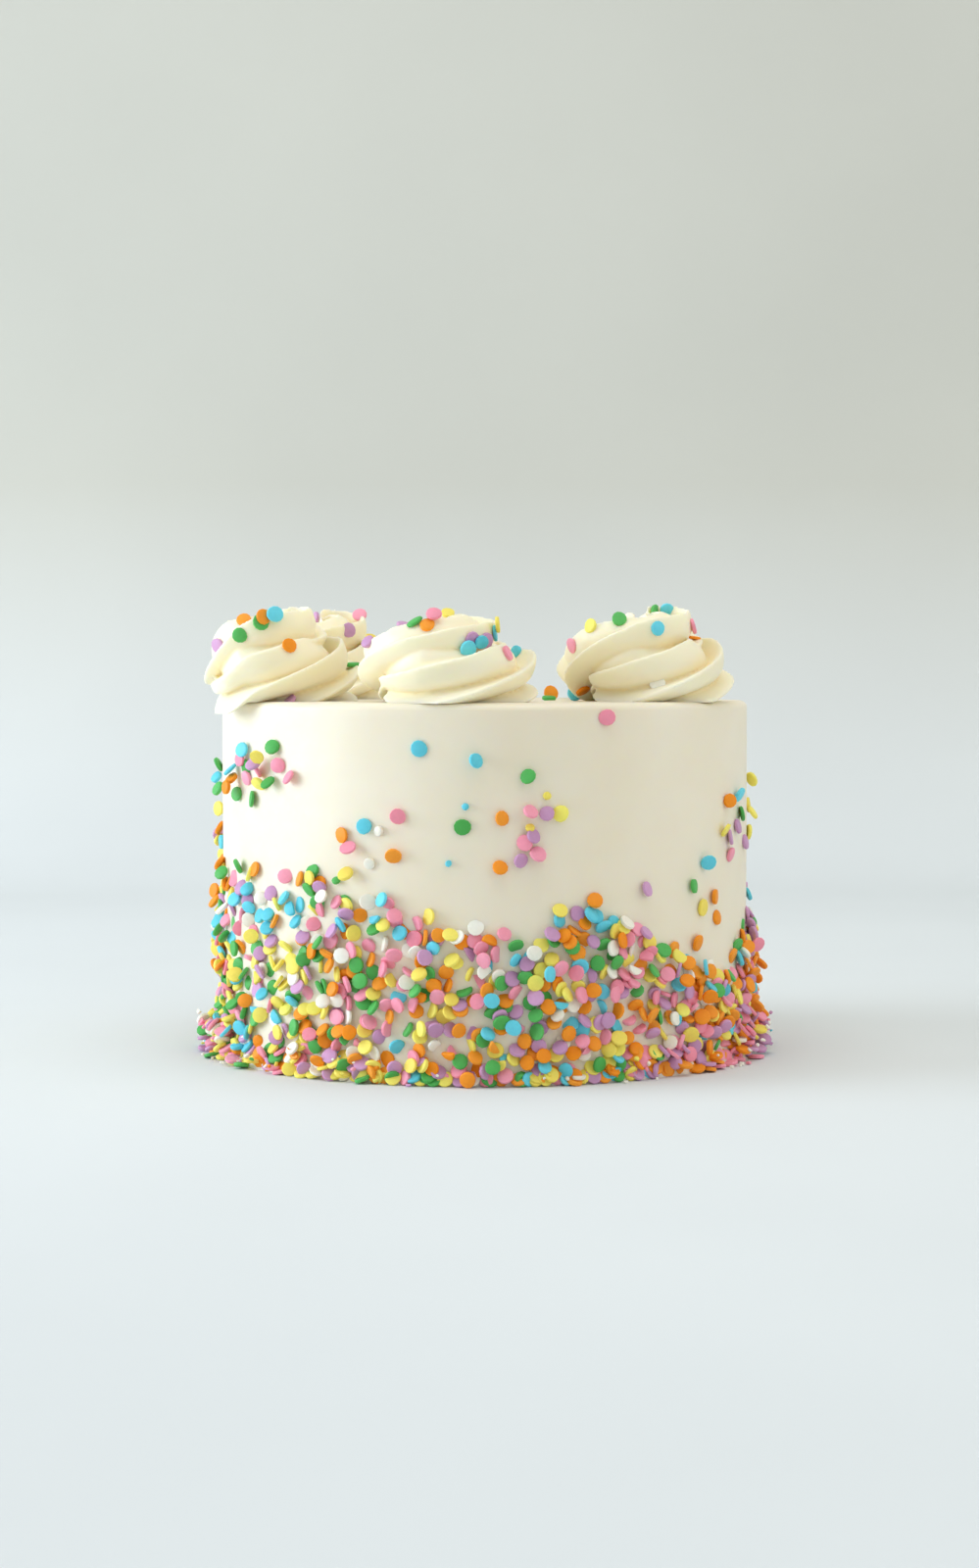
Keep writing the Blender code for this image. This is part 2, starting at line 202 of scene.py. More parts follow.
# The upper edge of the sprinkled band: degrees from the front, height above the base in mm, and over how
# many mm below its edge the band grows dense
BAND_EDGE = (
    (-180, 47, 8), (-150, 58, 14), (-122, 46, 10), (-100, 59, 60), (-76, 64, 105), (-58, 65, 105),
    (-43, 65, 85), (-32, 64, 45), (-25, 52, 14), (-21, 56, 6), (-11, 52, 5), (-6, 48, 5), (9, 45, 4),
    (12, 46, 4), (16, 54, 6), (21, 54, 6), (30, 47.5, 5), (43, 40.5, 5), (50, 35, 5), (61, 30, 4),
    (72, 38, 8), (80, 46, 12), (90, 46, 8), (105, 36, 5), (130, 50, 9), (155, 38, 5), (180, 47, 8),
)
# How dense the band is at its very edge, as a share, before this is squared
EDGE_DENSITY = 0.2

# How a disc settles: the share of its radius and the percentile of the heights under it that bear it, and
# the steepest slope that it takes
BEARING_RADIUS = 0.96
BEARING_PERCENTILE = 93
STEEPEST_SLOPE = 1.1

# How sprinkles lie on the side: the slopes that they lean at, how much they face up and how much more they
# lean that way, how far they follow what lies under them, how deep they are pressed in, and the share of
# those that are broken
LOOSE_LEAN = 0.42
BAND_LEAN = 0.42
FACING_UP = 0.4
LEANING_UP = 1.2
FOLLOW = 0.85
LOOSE_PRESS = 0.35 * MM
BAND_PRESS = 0.3 * MM
BROKEN = 0.07
# From this many degrees on, a disc's place round the cake can't be told from its pixel, so it may lie as
# many more degrees round as the second value
EDGE_ON = 78
EDGE_ON_STRAY = 6
# The flat discs of the band: how many, how deep in the icing the lowest lie, how thick the layer of them
# is at most and how much that varies, how high they may reach, and how far the band's edge strays
BAND_COUNT = 1560
BAND_SUNK = 0.9 * MM
BAND_THICKEST = 1.7 * MM
BAND_THINNER = 1.2 * MM
BAND_HIGHEST = 2.8 * MM
BAND_EDGE_STRAY = 1.0
# Discs that stand in the icing: how many, how steep in degrees, how far inside the band's edges, and how
# far their middles stand out, as a share of the radius
BAND_STANDING = 200
STANDING_STEEP = (42, 80)
STANDING_INSIDE = 3 * MM
STANDING_OUT = (-0.1, 0.5)
# Thin places in the band: how many, how wide in mm, and the share of discs that they let through
BARE_SPOTS = 70
BARE_WIDTH = (4, 9)
BARE_SHARE = 0.25
# The ring of discs that stand at the foot: how many, how far they stray as a share of their spacing, how
# steep they stand in degrees, how far they turn aside, and how far out they stand in mm
FOOT_COUNT = 190
FOOT_STRAY = 0.8
FOOT_STEEP = (48, 84)
FOOT_ASIDE = 0.25
FOOT_OUT = (0.1, 1.3)
# The discs that fell beside it: how many, the spread of the pile where they begin, how near the side the
# first lie, how far past the spread the last reach, how they crowd inwards, how steep in degrees the inner
# ones lean, how unevenly they all lean out and aside, and how far they follow what lies under them
SKIRT_COUNT = 330
SKIRT_FROM_SPREAD = 0.4 * MM
SKIRT_START = 0.6 * MM
SKIRT_REACH = 1.15
SKIRT_CROWDING = 1.3
SKIRT_STEEPEST = 62
SKIRT_LEANS = (0.15, 0.18)
SKIRT_FOLLOW = 0.5
# Crumbs: how many, how far beyond the pile in mm, their size and thickness as shares, and their lean
CRUMB_COUNT = 110
CRUMB_BEYOND = (1.5, 2.8)
CRUMB_SIZE = (0.16, 0.42)
CRUMB_THICKNESS = (0.5, 0.9)
CRUMB_LEAN = 0.2
# The strip of floor round the cake on which they are laid
FLOOR_REACH = CAKE_RADIUS + 12 * MM
# The least height above the base of a disc on the side, and of one on the floor
SIDE_CLEARANCE = 0.05 * MM
FLOOR_CLEARANCE = 0.03 * MM
SEED = 7

# Sprinkles on the side above the band, by their pixels in the photograph, some with their size as a share
SIDE_SPRINKLES = {
    "green": ((281, 762), (252, 783), (279, 798), (244, 810), (259, 815), (221, 780), (224, 805), (538, 792),
              (472, 844), (706, 904), (754, 830), (233, 890), (248, 884), (327, 920), (345, 898, 0.5)),
    "orange": ((243, 794), (245, 803), (350, 852), (403, 873), (512, 835), (510, 885), (727, 915), (731, 936),
               (741, 817), (605, 918), (710, 962), (223, 879), (262, 887), (327, 902)),
    "pink": ((250, 775), (286, 781), (267, 786), (298, 793), (253, 794), (359, 865), (407, 833), (540, 828),
             (535, 860), (548, 871), (618, 732), (744, 872), (648, 948)),
    "purple": ((269, 779), (557, 830), (543, 853), (531, 878), (658, 907), (751, 843), (743, 854), (759, 859),
               (588, 932)),
    "blue": ((252, 765), (242, 785), (224, 793), (224, 860), (428, 764), (486, 776), (718, 880), (751, 811),
             (607, 935), (625, 942), (373, 843), (475, 823, 0.45), (458, 881, 0.4)),
    "yellow": ((273, 772), (269, 800), (224, 825), (357, 891), (558, 812, 0.5), (571, 830), (716, 926),
               (737, 847), (765, 849), (768, 796), (766, 822), (766, 829), (634, 945), (540, 844, 0.6)),
    "white": ((387, 848, 0.7), (378, 881, 0.7), (378, 920)),
}

# Sprinkles on the rosettes, by their pixels in the photograph
ROSETTE_SPRINKLES = {
    "green": ((245, 648), (266, 635), (360, 679), (423, 632), (632, 618), (668, 624)),
    "orange": ((249, 633), (268, 624), (295, 659), (436, 638), (707, 652), (595, 704)),
    "pink": ((367, 622), (443, 628), (517, 667), (706, 639), (584, 659)),
    "purple": ((223, 659), (296, 716), (322, 617), (355, 643), (376, 652), (495, 653), (481, 652)),
    "blue": ((279, 622), (504, 646), (488, 653), (527, 666), (475, 660), (681, 623), (671, 641)),
    "yellow": ((457, 627), (501, 638), (603, 633)),
    "white": ((671, 698),),
}

# Sprinkles on the flat top between the rosettes: colour, place across and in depth in mm, degrees of lean
TOP_SPRINKLES = (
    ("green", 20.5, -12, 8), ("orange", 21.2, -9, 68), ("blue", 28.3, -22, 62), ("pink", 30.0, 18, 10),
    ("yellow", -2.0, 6, 12), ("purple", 8.0, -4, 9), ("blue", -12.0, 14, 14), ("orange", -4.0, -14, 7),
    ("white", 14.0, 16, 10), ("green", -22.0, 2, 11),
)
TOP_ASIDE = 0.35
TOP_SUNK = 0.15 * MM

# Loose groups on the hidden part of the side: degrees from the front, height in mm, spread across and up in
# mm, and how many
HIDDEN_CLUSTERS = (
    (104, 76, 9, 8, 8), (150, 84, 11, 10, 10), (-140, 90, 10, 8, 9), (-108, 78, 7, 6, 5), (178, 72, 14, 7, 6),
)
# Single ones there: how many, between which degrees, how far above the band's edge on average in mm, and
# how far below the top at least
HIDDEN_SINGLES = 42
HIDDEN_SIDE = (88, 272)
HIDDEN_ABOVE = 9
HIDDEN_BELOW_TOP = 8 * MM

# Sprinkles on the rosettes: the slope that they lean at, the pixels below the stated one that are tried
# where the icing isn't met at once, how many lie on each hidden rosette, and how far from its middle
ROSETTE_LEAN = 0.28
PIXELS_BELOW = (0, 3, 6, 9, 12, 15)
HIDDEN_ROSETTE_SPRINKLES = 9
HIDDEN_ROSETTE_REACH = 22 * MM
LOOK_DOWN_FROM = 0.1
# Two discs on a rosette that lie nearer than this many radii are stacked
CROSSING = 1.7
HIDDEN_ROSETTES = ROSETTES[2:5]


def smoothstep(x):
    x = np.clip(x, 0.0, 1.0)
    return x * x * (3 - 2 * x)


def around(degrees, radius, height):
    a = math.radians(degrees)
    return Vector((radius * math.sin(a), -radius * math.cos(a), height))


def make_mesh(name, points, faces):
    mesh = bpy.data.meshes.new(name)
    mesh.from_pydata(np.asarray(points).tolist(), [], faces)
    mesh.validate()
    return mesh


def make_object(name, mesh):
    obj = bpy.data.objects.new(name, mesh)
    bpy.context.scene.collection.objects.link(obj)
    return obj


def grid_faces(rows, columns, wrap):
    """The quads of a grid of points, row by row, whose last column may join the first."""
    last = columns if wrap else columns - 1
    i, j = np.mgrid[0 : rows - 1, 0:last]
    k = (j + 1) % columns
    quads = np.stack([i * columns + j, i * columns + k, (i + 1) * columns + k, (i + 1) * columns + j], -1)
    return quads.reshape(-1, 4).tolist()


# Materials


def link(tree, source, target):
    tree.links.new(source, target)


def add_noise(tree, scale, detail, roughness=0.5):
    """A noise texture on the object's own coordinates, scale per metre."""
    where = tree.nodes.new("ShaderNodeTexCoord")
    noise = tree.nodes.new("ShaderNodeTexNoise")
    noise.inputs["Scale"].default_value = scale
    noise.inputs["Detail"].default_value = detail
    noise.inputs["Roughness"].default_value = roughness
    link(tree, where.outputs["Object"], noise.inputs["Vector"])
    return noise.outputs["Fac"]


def add_ramp(tree, value, low, high, low_colour, high_colour):
    ramp = tree.nodes.new("ShaderNodeValToRGB")
    ramp.color_ramp.elements[0].position = low
    ramp.color_ramp.elements[1].position = high
    ramp.color_ramp.elements[0].color = (*low_colour, 1)
    ramp.color_ramp.elements[1].color = (*high_colour, 1)
    link(tree, value, ramp.inputs["Fac"])
    return ramp.outputs["Color"]


def add_mix(tree, kind, share, first, second):
    mix = tree.nodes.new("ShaderNodeMix")
    mix.data_type = "RGBA"
    mix.blend_type = kind
    mix.inputs["Factor"].default_value = share
    link(tree, first, mix.inputs["A"])
    link(tree, second, mix.inputs["B"])
    return mix.outputs["Result"]


def add_attribute(tree, name):
    """A value stored on the mesh's points."""
    value = tree.nodes.new("ShaderNodeAttribute")
    value.attribute_name = name
    return value.outputs["Fac"]


def add_bump(tree, heights, strength, distance, normal=None):
    bump = tree.nodes.new("ShaderNodeBump")
    bump.inputs["Strength"].default_value = strength
    bump.inputs["Distance"].default_value = distance
    link(tree, heights, bump.inputs["Height"])
    if normal:
        link(tree, normal, bump.inputs["Normal"])
    return bump.outputs["Normal"]


def new_material(name):
    material = bpy.data.materials.new(name)
    material.use_nodes = True
    return material, material.node_tree, material.node_tree.nodes["Principled BSDF"]


def icing_material(name, icing, pale, glow_mm, wave_mm, wave_strength):
    """Buttercream: cream with faint blotches, with painted shade in its folds (darker and yellower), with
    shallow waves and fine pores.
    """
    material, tree, shader = new_material(name)
    blotches = add_ramp(tree, add_noise(tree, 38, 3), 0.35, 0.7, icing, pale)
    # Painted shade: the deeper a fold, the darker and yellower its colour
    painted_shade_in_folds = add_ramp(tree, add_attribute(tree, "painted_shade_depth"), 0.02, 0.9, (1, 1, 1), FOLD_PAINTED_SHADE)
    link(tree, add_mix(tree, "MULTIPLY", 1.0, blotches, painted_shade_in_folds), shader.inputs["Base Color"])
    gloss = add_ramp(tree, add_noise(tree, 160, 4), 0.3, 0.75, (0.38, 0.38, 0.38), (0.55, 0.55, 0.55))
    link(tree, gloss, shader.inputs["Roughness"])
    shader.inputs["Subsurface Weight"].default_value = 0.55
    shader.inputs["Subsurface Radius"].default_value = (1.0, 0.8, 0.45)
    shader.inputs["Subsurface Scale"].default_value = glow_mm * MM
    shader.inputs["Specular IOR Level"].default_value = 0.42
    waves = add_bump(tree, add_noise(tree, 1000 / wave_mm, 2), wave_strength, 0.4 * MM)
    pores = add_bump(tree, add_noise(tree, 1500, 5, 0.6), 0.18, 0.08 * MM, waves)
    link(tree, pores, shader.inputs["Normal"])
    return material


def sprinkle_material(name, colour):
    """Pressed sugar: an even dye that varies a little from disc to disc, with a fine matt grain."""
    material, tree, shader = new_material(name)
    pale = tuple(min(1.0, c * 1.12 + 0.03) for c in colour)
    full = tuple(c * 0.96 for c in colour)
    body = add_ramp(tree, add_attribute(tree, "tone"), 0.0, 1.0, full, pale)
    grain = add_ramp(tree, add_noise(tree, 900, 4), 0.3, 0.7, (0.94, 0.94, 0.94), (1, 1, 1))
    link(tree, add_mix(tree, "MULTIPLY", 1.0, body, grain), shader.inputs["Base Color"])
    gloss = add_ramp(tree, add_noise(tree, 1200, 3), 0.3, 0.7, (0.42, 0.42, 0.42), (0.6, 0.6, 0.6))
    link(tree, gloss, shader.inputs["Roughness"])
    shader.inputs["Subsurface Weight"].default_value = 0.22
    shader.inputs["Subsurface Radius"].default_value = (1.0, 0.8, 0.6)
    shader.inputs["Subsurface Scale"].default_value = 0.5 * MM
    shader.inputs["Specular IOR Level"].default_value = 0.28
    link(tree, add_bump(tree, add_noise(tree, 1600, 4), 0.25, 0.08 * MM), shader.inputs["Normal"])
    return material


# The frosted cake


def pile_spread(degrees):
    """How far the sprinkles piled at the foot spread, widest at the two sides."""
    side = np.sin(np.radians(degrees)) ** 2
    return PILE_SPREAD_FRONT + (PILE_SPREAD_SIDE - PILE_SPREAD_FRONT) * side


def wall_waves(angle, z):
    """How far the side stands out here, in metres: shallow swells and faint lines round the cake."""
    wander = 0.8 * np.sin(2 * angle) + 0.5 * np.sin(7 * angle)
    waves = LINES_SIZE * np.sin(LINES_PER_METRE * z + wander)
    for size, beats, rise, phase in SWELLS:
        waves = waves + size * np.sin(beats * angle + rise * z + phase)
    return waves * MM


def make_frosting(material):
    """The side and the top as one dense turned surface, a little uneven all over."""
    heights = np.linspace(0.0, CAKE_HEIGHT - TOP_EDGE_ROUND, WALL_ROWS)
    profile = [(CAKE_RADIUS, z) for z in heights]
    for a in np.linspace(0, math.pi / 2, TOP_EDGE_STEPS + 1)[1:]:
        radius = CAKE_RADIUS - TOP_EDGE_ROUND * (1 - math.cos(a))
        profile.append((radius, CAKE_HEIGHT - TOP_EDGE_ROUND * (1 - math.sin(a))))
    inner = CAKE_RADIUS - TOP_EDGE_ROUND
    profile += [(r, CAKE_HEIGHT) for r in np.linspace(inner, 0.6 * MM, TOP_ROWS)[1:]]
    rows = np.array(profile)
    angle = np.linspace(0, 2 * np.pi, WALL_COLUMNS, endpoint=False)[None, :]
    radius = rows[:, :1] + 0 * angle
    z = rows[:, 1:] + 0 * angle
    on_wall = smoothstep((radius - 0.8 * CAKE_RADIUS) / (0.19 * CAKE_RADIUS))
    pile = PILE_ICING * pile_spread(np.degrees(angle)) * np.clip(1 - z / PILE_HEIGHT, 0, 1) ** 2
    radius = radius + on_wall * (wall_waves(angle, z) + pile)
    rings = RINGS_SIZE * np.sin(radius * 420 + 2 * angle) * (1 - on_wall)
    z = z + smoothstep(z / (30 * MM) - 2) * rings
    rim = np.exp(-(((radius - CAKE_RADIUS + RIM_WIDTH) / RIM_WIDTH) ** 2))
    rim = rim * (z > CAKE_HEIGHT - 2 * RIM_WIDTH)
    z = z - rim * RIM_SIZE * (1 + np.sin(4 * angle + 0.7) * np.sin(11 * angle))
    points = np.stack([radius * np.sin(angle), -radius * np.cos(angle), z], -1).reshape(-1, 3)
    faces = grid_faces(len(rows), WALL_COLUMNS, True)
    faces.append(list(range(WALL_COLUMNS))[::-1])
    top = (len(rows) - 1) * WALL_COLUMNS
    faces.append([top + j for j in range(WALL_COLUMNS)])
    piece = make_object("frosting", make_mesh("frosting", points, faces))
    piece.data.materials.append(material)
    piece.data.shade_smooth()
    piece.data.set_sharp_from_angle(angle=math.radians(70))
    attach(piece, "root")
    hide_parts("cake")


# The rosettes


def ridge(angle):
    """1 on a ridge's lip and 0 in the valley below it, at these angles of the rope's section."""
    phase = ROPE_RIDGES * angle
    phase = phase + RIDGE_SKEW * (1 - np.cos(phase))
    dip = np.hypot(np.sin(phase / 2), RIDGE_ROUND) - RIDGE_ROUND
    return 1 - dip / (math.hypot(1, RIDGE_ROUND) - RIDGE_ROUND)


def ruffled(angle, turn, first):
    """How much the rope swells here, as a share of its radius."""
    share = 1
    for number, (size, beats, waves) in enumerate(RUFFLES, 1):
        share = share + size * np.sin(2 * np.pi * beats * turn + waves * angle + number * first)
    return share


def rope_points(centre, start, twist, across, up):
    """The rope's rings of points along its spiral, as in the solid but far finer."""
    turn = np.linspace(0, SPIRAL_TURNS, round(SPIRAL_TURNS * ROPE_STEPS_PER_TURN) + 1)[:, None]
    angle = np.linspace(0, 2 * np.pi, ROPE_RIDGES * POINTS_PER_RIDGE, endpoint=False)[None, :]
    inward = smoothstep((turn - WIDE_TURNS) / (SPIRAL_TURNS - WIDE_TURNS))
    upward = smoothstep((turn - RISE_TURNS[0]) / (RISE_TURNS[1] - RISE_TURNS[0]))
    radius = SPIRAL_RADII[0] + (SPIRAL_RADII[1] - SPIRAL_RADII[0]) * inward
    height = SPIRAL_HEIGHTS[0] + (SPIRAL_HEIGHTS[1] - SPIRAL_HEIGHTS[0]) * upward
    thick = ROPE_RADIUS * (1 - ROPE_THINNING * turn / SPIRAL_TURNS)
    thick = thick * np.sqrt(np.minimum(1.0, ROPE_TIP + turn / ROPE_START_TURNS))
    thick = thick * np.sqrt(np.minimum(1.0, ROPE_TIP + (SPIRAL_TURNS - turn) / ROPE_END_TURNS))
    full = smoothstep((SPIRAL_TURNS - turn) / SMOOTH_END_TURNS)
    depth = VALLEY_DEPTH * full
    first = math.radians(start)
    tip = ridge(angle)
    uneven = 1 + RIDGE_UNEVEN * np.sin(2 * angle + first)
    reach = thick * ruffled(angle, turn, first) * (1 - depth + depth * uneven * tip)
    turned = angle + RIDGE_LEAN * full * tip + twist * 2 * np.pi * turn
    turned = turned + SWAY * np.sin(2 * np.pi * SWAY_BEATS * turn + first)
    heading = first + 2 * np.pi * turn
    out = across * (radius + reach * np.cos(turned))
    x = centre.x + np.cos(heading) * out
    y = centre.y + np.sin(heading) * out
    z = centre.z + up * np.maximum(0.0, height + reach * np.sin(turned))
    z = z - SAG_DEPTH * smoothstep((np.hypot(x, y) - SAG_START) / SAG_REACH)
    return np.stack([x, y, z], -1)


def read_vertices(mesh, name):
    values = np.empty(len(mesh.vertices) * 3, np.float32)
    mesh.vertices.foreach_get(name, values)
    return values.reshape(-1, 3)


def mark_painted_fold_shade(obj):
    """Stores how deep each point lies in a fold, by how far a much smoother surface passes outside it, as the
    mask of the painted shade in the folds.
    """
    smoother = obj.modifiers.new("Smoother", "SMOOTH")
    smoother.factor = 0.5
    smoother.iterations = FOLD_SHADE_SMOOTHING
    graph = bpy.context.evaluated_depsgraph_get()
    smooth = bpy.data.meshes.new_from_object(obj.evaluated_get(graph))
    obj.modifiers.remove(smoother)
    normals = read_vertices(obj.data, "normal")
    moved = read_vertices(smooth, "co") - read_vertices(obj.data, "co")
    depth = (moved * normals).sum(1) / MM
    attribute = obj.data.attributes.new("painted_shade_depth", "FLOAT", "POINT")
    attribute.data.foreach_set("value", np.clip(depth / FOLD_SHADE_FULL_MM, 0, 1).astype(np.float32))


def make_rosette(node, centre, start, twist, across, up, material):
    rings = rope_points(centre, start, twist, across, up)
    count, sides = rings.shape[:2]
    faces = grid_faces(count, sides, True)
    faces.append(list(range(sides))[::-1])
    faces.append([(count - 1) * sides + j for j in range(sides)])
    bm = bmesh.new()
    bm.from_mesh(make_mesh(node + "_rope", rings.reshape(-1, 3), faces))
    heart = Matrix.Translation(centre + Vector((0, 0, HEART_HEIGHT / 2)))
    low, high = HEART_RADII
    bmesh.ops.create_cone(
        bm, cap_ends=True, segments=HEART_SIDES, radius1=low, radius2=high, depth=HEART_HEIGHT, matrix=heart
    )
    bmesh.ops.recalc_face_normals(bm, faces=bm.faces)
    mesh = bpy.data.meshes.new(node + "_swirl")
    bm.to_mesh(mesh)
    bm.free()
    rope = make_object(node + "_rope", mesh)
    fuse = rope.modifiers.new("Fuse", "REMESH")
    fuse.mode = "VOXEL"
    fuse.voxel_size = FUSE_VOXEL
    soften = rope.modifiers.new("Soften", "SMOOTH")
    soften.factor = 0.5
    soften.iterations = FUSE_SMOOTHING
    graph = bpy.context.evaluated_depsgraph_get()
    fused = bpy.data.meshes.new_from_object(rope.evaluated_get(graph))
    bpy.data.objects.remove(rope, do_unlink=True)
    piece = make_object(node + "_swirl", fused)
    fused.materials.clear()
    fused.materials.append(material)
    fused.shade_smooth()
    mark_painted_fold_shade(piece)
    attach(piece, "root")
    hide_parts(node)
    return piece


# The sprinkles


class Field:
    """How high things already lie over a flat strip, cell by cell. The strip may close on itself across."""

    CELL = 0.25 * MM

    def __init__(self, left, low, width, depth, wrap):
        self.left, self.low, self.wrap = left, low, wrap
        self.columns = round(width / self.CELL)
        self.rows = round(depth / self.CELL)
        self.height = np.zeros((self.rows, self.columns))
        self.taken = np.zeros((self.rows, self.columns), bool)

    def cells(self, a, b, radius):
        """The cells within this radius of the point: rows, columns and their offsets from it."""
        reach = int(math.ceil(radius / self.CELL))
        column = (a - self.left) / self.CELL
        row = (b - self.low) / self.CELL
        i, j = np.mgrid[-reach : reach + 1, -reach : reach + 1]
        rows = i.ravel() + int(row)
        columns = j.ravel() + int(column)
        u = (columns + 0.5 - column) * self.CELL
        v = (rows + 0.5 - row) * self.CELL
        inside = (u * u + v * v < radius * radius) & (rows >= 0) & (rows < self.rows)
        if self.wrap:
            columns = columns % self.columns
        else:
            inside &= (columns >= 0) & (columns < self.columns)
        return rows[inside], columns[inside], u[inside], v[inside]

    def settle(self, a, b, radius, thickness, slope, follow, press):
        """Rests a disc on what lies there. It follows the lie of the land, on top of its own slope.

        Returns the height of its middle and its two slopes, and adds it to the field.
        """
        rows, columns, u, v = self.cells(a, b, radius * BEARING_RADIUS)
        below = self.height[rows, columns]
        spread = max(1e-12, (u * u).sum())
        slope_a = slope[0] + follow * (below * u).sum() / spread
        slope_b = slope[1] + follow * (below * v).sum() / spread
        slope_a = float(np.clip(slope_a, -STEEPEST_SLOPE, STEEPEST_SLOPE))
        slope_b = float(np.clip(slope_b, -STEEPEST_SLOPE, STEEPEST_SLOPE))
        lift = below - slope_a * u - slope_b * v
        rest = float(np.percentile(lift, BEARING_PERCENTILE)) - press
        stretch = math.sqrt(1 + slope_a**2 + slope_b**2)
        top = rest + thickness * stretch + slope_a * u + slope_b * v
        self.height[rows, columns] = np.maximum(below, top)
        return rest + thickness * stretch / 2, slope_a, slope_b


class Sprinkles:
    """Gathers the discs of each colour, to be made into one mesh for each."""

    def __init__(self, rng):
        self.rng = rng
        self.points = {name: [] for name in COLOURS}
        self.tones = {name: [] for name in COLOURS}
        self.names = list(COLOURS)
        # Place and facing of each disc that lies on a rosette so far
        self.on_rosettes = []
        self.shares = np.array([share for _, share, _ in COLOURS.values()])
        self.drift = np.array([drift for _, _, drift in COLOURS.values()])

    def any_colour(self, degrees=0):
        """A colour drawn for this place round the cake."""
        weights = self.shares * (1 + self.drift * math.sin(math.radians(degrees)))
        return self.names[self.rng.choice(len(self.names), p=weights / weights.sum())]

    def any_size(self):
        """Radius and thickness of one disc."""
        radius = SPRINKLE_RADIUS * float(np.clip(self.rng.normal(1, RADIUS_SPREAD), *RADIUS_LIMITS))
        return radius, SPRINKLE_THICKNESS * self.rng.uniform(*THICKNESS_LIMITS)

    def disc(self, radius, thickness, broken):
        """One disc's points round its own middle: a little oval and cupped, and broken off at random."""
        rng = self.rng
        turn = np.linspace(0, 2 * np.pi, SPRINKLE_SIDES, endpoint=False)
        oval = 1 + OVAL * np.sin(2 * turn + rng.uniform(0, 6.3))
        oval = oval + UNEVEN * np.sin(3 * turn + rng.uniform(0, 6.3))
        rings = [(0.0, 0.0, 0.5)]
        for share, level in SPRINKLE_OUTLINE:
            rings += [(share * w * math.cos(t), share * w * math.sin(t), level) for t, w in zip(turn, oval)]
        rings.append((0.0, 0.0, -0.5))
        points = np.array(rings)
        cup = rng.normal(0, CUPPED)
        points[:, 2] += cup * (points[:, 0] ** 2 + points[:, 1] ** 2)
        if rng.random() < broken:
            cut = rng.uniform(*BREAKS_AT)
            points[:, 0] = np.where(points[:, 0] > cut, cut + 0.08 * (points[:, 0] - cut), points[:, 0])
        return points * (radius, radius, thickness)

    def add(self, colour, centre, normal, radius, thickness, floor=None, broken=0.0):
        """Places one disc. It is lifted where it would reach below the floor."""
        normal = Vector(normal).normalized()
        spin = Matrix.Rotation(self.rng.uniform(0, 2 * math.pi), 3, "Z")
        turn = np.array(normal.to_track_quat("Z", "Y").to_matrix() @ spin)
        points = self.disc(radius, thickness, broken) @ turn.T + np.array(centre)
        if floor is not None and points[:, 2].min() < floor:
            points[:, 2] += floor - points[:, 2].min()
        self.points[colour].append(points)
        self.tones[colour].append(self.rng.random())

    def make(self):
        """One mesh for each colour."""
        rings = len(SPRINKLE_OUTLINE)
        sides = SPRINKLE_SIDES
        size = rings * sides + 2
        quads = np.array(grid_faces(rings, sides, True)) + 1
        quads = quads[:, ::-1]
        j = np.arange(sides)
        k = (j + 1) % sides
        top = np.stack([0 * j, 1 + j, 1 + k], -1)
        low = 1 + (rings - 1) * sides
        bottom = np.stack([0 * j + size - 1, low + k, low + j], -1)
        for name, (colour, _, _) in COLOURS.items():
            count = len(self.points[name])
            faces = []
            for n in range(count):
                faces += (quads + n * size).tolist()
                faces += (top + n * size).tolist()
                faces += (bottom + n * size).tolist()
            mesh = make_mesh("sprinkles_" + name, np.concatenate(self.points[name]), faces)
            tone = mesh.attributes.new("tone", "FLOAT", "POINT")
            tone.data.foreach_set("value", np.repeat(np.array(self.tones[name], np.float32), size))
            mesh.materials.append(sprinkle_material("sugar_" + name, colour))
            mesh.shade_smooth()
            mesh.set_sharp_from_angle(angle=math.radians(50))
            piece = make_object("sprinkles_" + name, mesh)
            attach(piece, "root")
            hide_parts("cake", *[row[0] for row in ROSETTES])


def band_edge(degrees):
    """The band's upper edge at this angle, and over what height it grows dense, in metres."""
    degrees = (degrees + 180) % 360 - 180
    for (a, low, fade), (b, high, next_fade) in zip(BAND_EDGE, BAND_EDGE[1:]):
        if a <= degrees <= b:
            share = float(smoothstep((degrees - a) / (b - a)))
            return (low + (high - low) * share) * MM, (fade + (next_fade - fade) * share) * MM
    return BAND_EDGE[0][1] * MM, BAND_EDGE[0][2] * MM


def full_share(below, fade):
    """How dense the band is this far below its edge, as a share of its full density."""
    return min(1.0, EDGE_DENSITY + (1 - EDGE_DENSITY) * below / fade) ** 2


def camera_ray(camera, x, y):
    """Where the camera is, and the direction in which it sees this pixel of the photograph."""
    focal = LENS_MM / SENSOR_MM * PHOTO_HEIGHT
    seen = Vector(((x - PHOTO_WIDTH / 2) / focal, (PHOTO_HEIGHT / 2 - y) / focal, -1))
    turned = camera.matrix_world.to_3x3() @ seen
    return camera.matrix_world.translation.copy(), turned.normalized()


def side_at_pixel(camera, x, y):
    """Degrees and height where the pixel's ray meets the side, or passes nearest to it."""
    origin, ray = camera_ray(camera, x, y)
    a = ray.x**2 + ray.y**2
    b = origin.x * ray.x + origin.y * ray.y
    c = origin.x**2 + origin.y**2 - CAKE_RADIUS**2
    root = b * b - a * c
    reach = (-b - math.sqrt(root)) / a if root > 0 else -b / a
    place = origin + ray * reach
    return math.degrees(math.atan2(place.x, -place.y)), place.z


